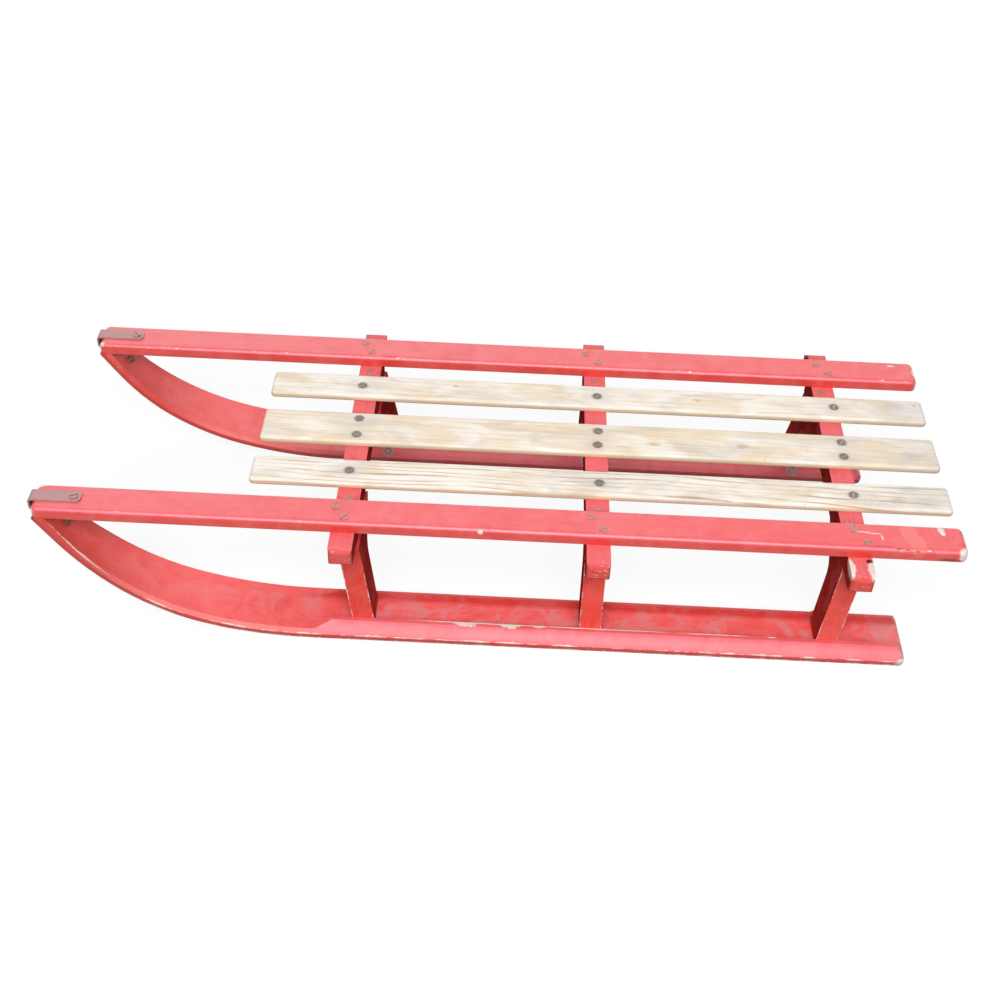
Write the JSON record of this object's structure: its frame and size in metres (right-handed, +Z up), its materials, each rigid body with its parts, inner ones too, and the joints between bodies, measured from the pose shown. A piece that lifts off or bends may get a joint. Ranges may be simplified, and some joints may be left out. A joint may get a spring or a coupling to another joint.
{
  "type": "wooden sled",
  "caption": "Two-seat wooden sled with grooved, bent-up board runners, bridges on splayed legs, side rails and lengthwise seat slats.",
  "frame": {"origin": "under the middle of the sled, on the ground plane of the runner soles", "axes": "+X towards the bent-up front, +Y to the sled's left, +Z up"},
  "size_m": [1.0874, 0.434, 0.1725],
  "materials": {
    "red_painted_wood": "worn satin red paint over wood",
    "bare_pine": "bare weathered pine",
    "strap_steel": "dull steel with worn paint"
  },
  "bodies": {
    "root": {"runner_left": "red_painted_wood", "runner_right": "red_painted_wood", "rail_left": "red_painted_wood", "rail_right": "red_painted_wood", "crosspiece_front": "red_painted_wood", "crosspiece_middle": "red_painted_wood", "crosspiece_rear": "red_painted_wood", "leg_front_left": "red_painted_wood", "leg_front_right": "red_painted_wood", "leg_middle_left": "red_painted_wood", "leg_middle_right": "red_painted_wood", "leg_rear_left": "red_painted_wood", "leg_rear_right": "red_painted_wood", "slat_left": "bare_pine", "slat_centre": "bare_pine", "slat_right": "bare_pine", "strap_left": "strap_steel", "strap_right": "strap_steel"}
  },
  "joints": []
}
